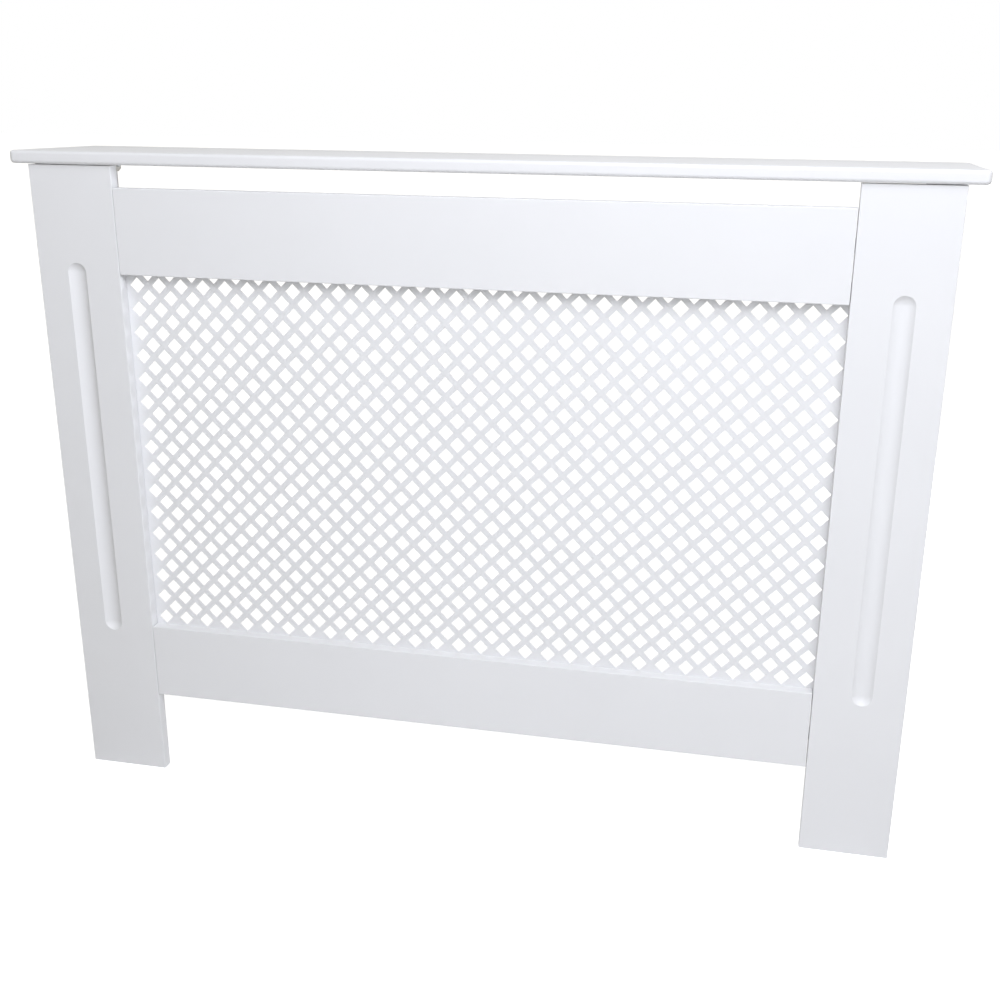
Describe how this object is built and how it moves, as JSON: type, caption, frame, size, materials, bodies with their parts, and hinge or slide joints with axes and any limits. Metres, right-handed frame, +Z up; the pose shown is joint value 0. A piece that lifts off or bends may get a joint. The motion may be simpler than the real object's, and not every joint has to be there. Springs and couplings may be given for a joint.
{
  "type": "radiator cover cabinet",
  "caption": "Flat-pack radiator cover: shelf, two fluted pilasters, top and bottom rails, a diamond-punched grille and side panels, joined by blocks, plates and screws.",
  "frame": {"origin": "on the floor, below the middle of the shelf", "axes": "+Z up, the front faces -Y, the wall is at +Y, +X is to the right seen from the front"},
  "size_m": [1.115, 0.19, 0.815],
  "materials": {
    "white_paint": "satin white paint on fibreboard",
    "joint_plastic": "moulded off-white plastic",
    "zinc_steel": "bright zinc plate"
  },
  "bodies": {
    "root": {"bottom_rail": "white_paint", "grille_left_bottom_screw": "zinc_steel", "grille_left_lower_side_screw": "zinc_steel", "grille_left_top_screw": "zinc_steel", "grille_left_upper_side_screw": "zinc_steel", "grille_right_bottom_screw": "zinc_steel", "grille_right_lower_side_screw": "zinc_steel", "grille_right_top_screw": "zinc_steel", "grille_right_upper_side_screw": "zinc_steel", "grille_sheet": "white_paint", "left_bottom_plate": "zinc_steel", "left_bottom_plate_pilaster_screw": "zinc_steel", "left_bottom_plate_rail_screw": "zinc_steel", "left_front_shelf_block": "joint_plastic", "left_front_shelf_block_screw_1": "zinc_steel", "left_front_shelf_block_screw_2": "zinc_steel", "left_lower_corner_block": "joint_plastic", "left_lower_corner_block_screw_1": "zinc_steel", "left_lower_corner_block_screw_2": "zinc_steel", "left_pilaster": "white_paint", "left_rear_shelf_block": "joint_plastic", "left_rear_shelf_block_screw_1": "zinc_steel", "left_rear_shelf_block_screw_2": "zinc_steel", "left_side_panel": "white_paint", "left_top_plate": "zinc_steel", "left_top_plate_pilaster_screw": "zinc_steel", "left_top_plate_rail_screw": "zinc_steel", "left_upper_corner_block": "joint_plastic", "left_upper_corner_block_screw_1": "zinc_steel", "left_upper_corner_block_screw_2": "zinc_steel", "left_wall_bracket": "zinc_steel", "left_wall_bracket_front_screw": "zinc_steel", "left_wall_bracket_rear_screw": "zinc_steel", "right_bottom_plate": "zinc_steel", "right_bottom_plate_pilaster_screw": "zinc_steel", "right_bottom_plate_rail_screw": "zinc_steel", "right_front_shelf_block": "joint_plastic", "right_front_shelf_block_screw_1": "zinc_steel", "right_front_shelf_block_screw_2": "zinc_steel", "right_lower_corner_block": "joint_plastic", "right_lower_corner_block_screw_1": "zinc_steel", "right_lower_corner_block_screw_2": "zinc_steel", "right_pilaster": "white_paint", "right_rear_shelf_block": "joint_plastic", "right_rear_shelf_block_screw_1": "zinc_steel", "right_rear_shelf_block_screw_2": "zinc_steel", "right_side_panel": "white_paint", "right_top_plate": "zinc_steel", "right_top_plate_pilaster_screw": "zinc_steel", "right_top_plate_rail_screw": "zinc_steel", "right_upper_corner_block": "joint_plastic", "right_upper_corner_block_screw_1": "zinc_steel", "right_upper_corner_block_screw_2": "zinc_steel", "right_wall_bracket": "zinc_steel", "right_wall_bracket_front_screw": "zinc_steel", "right_wall_bracket_rear_screw": "zinc_steel", "top_rail": "white_paint", "top_shelf": "white_paint"}
  },
  "joints": []
}
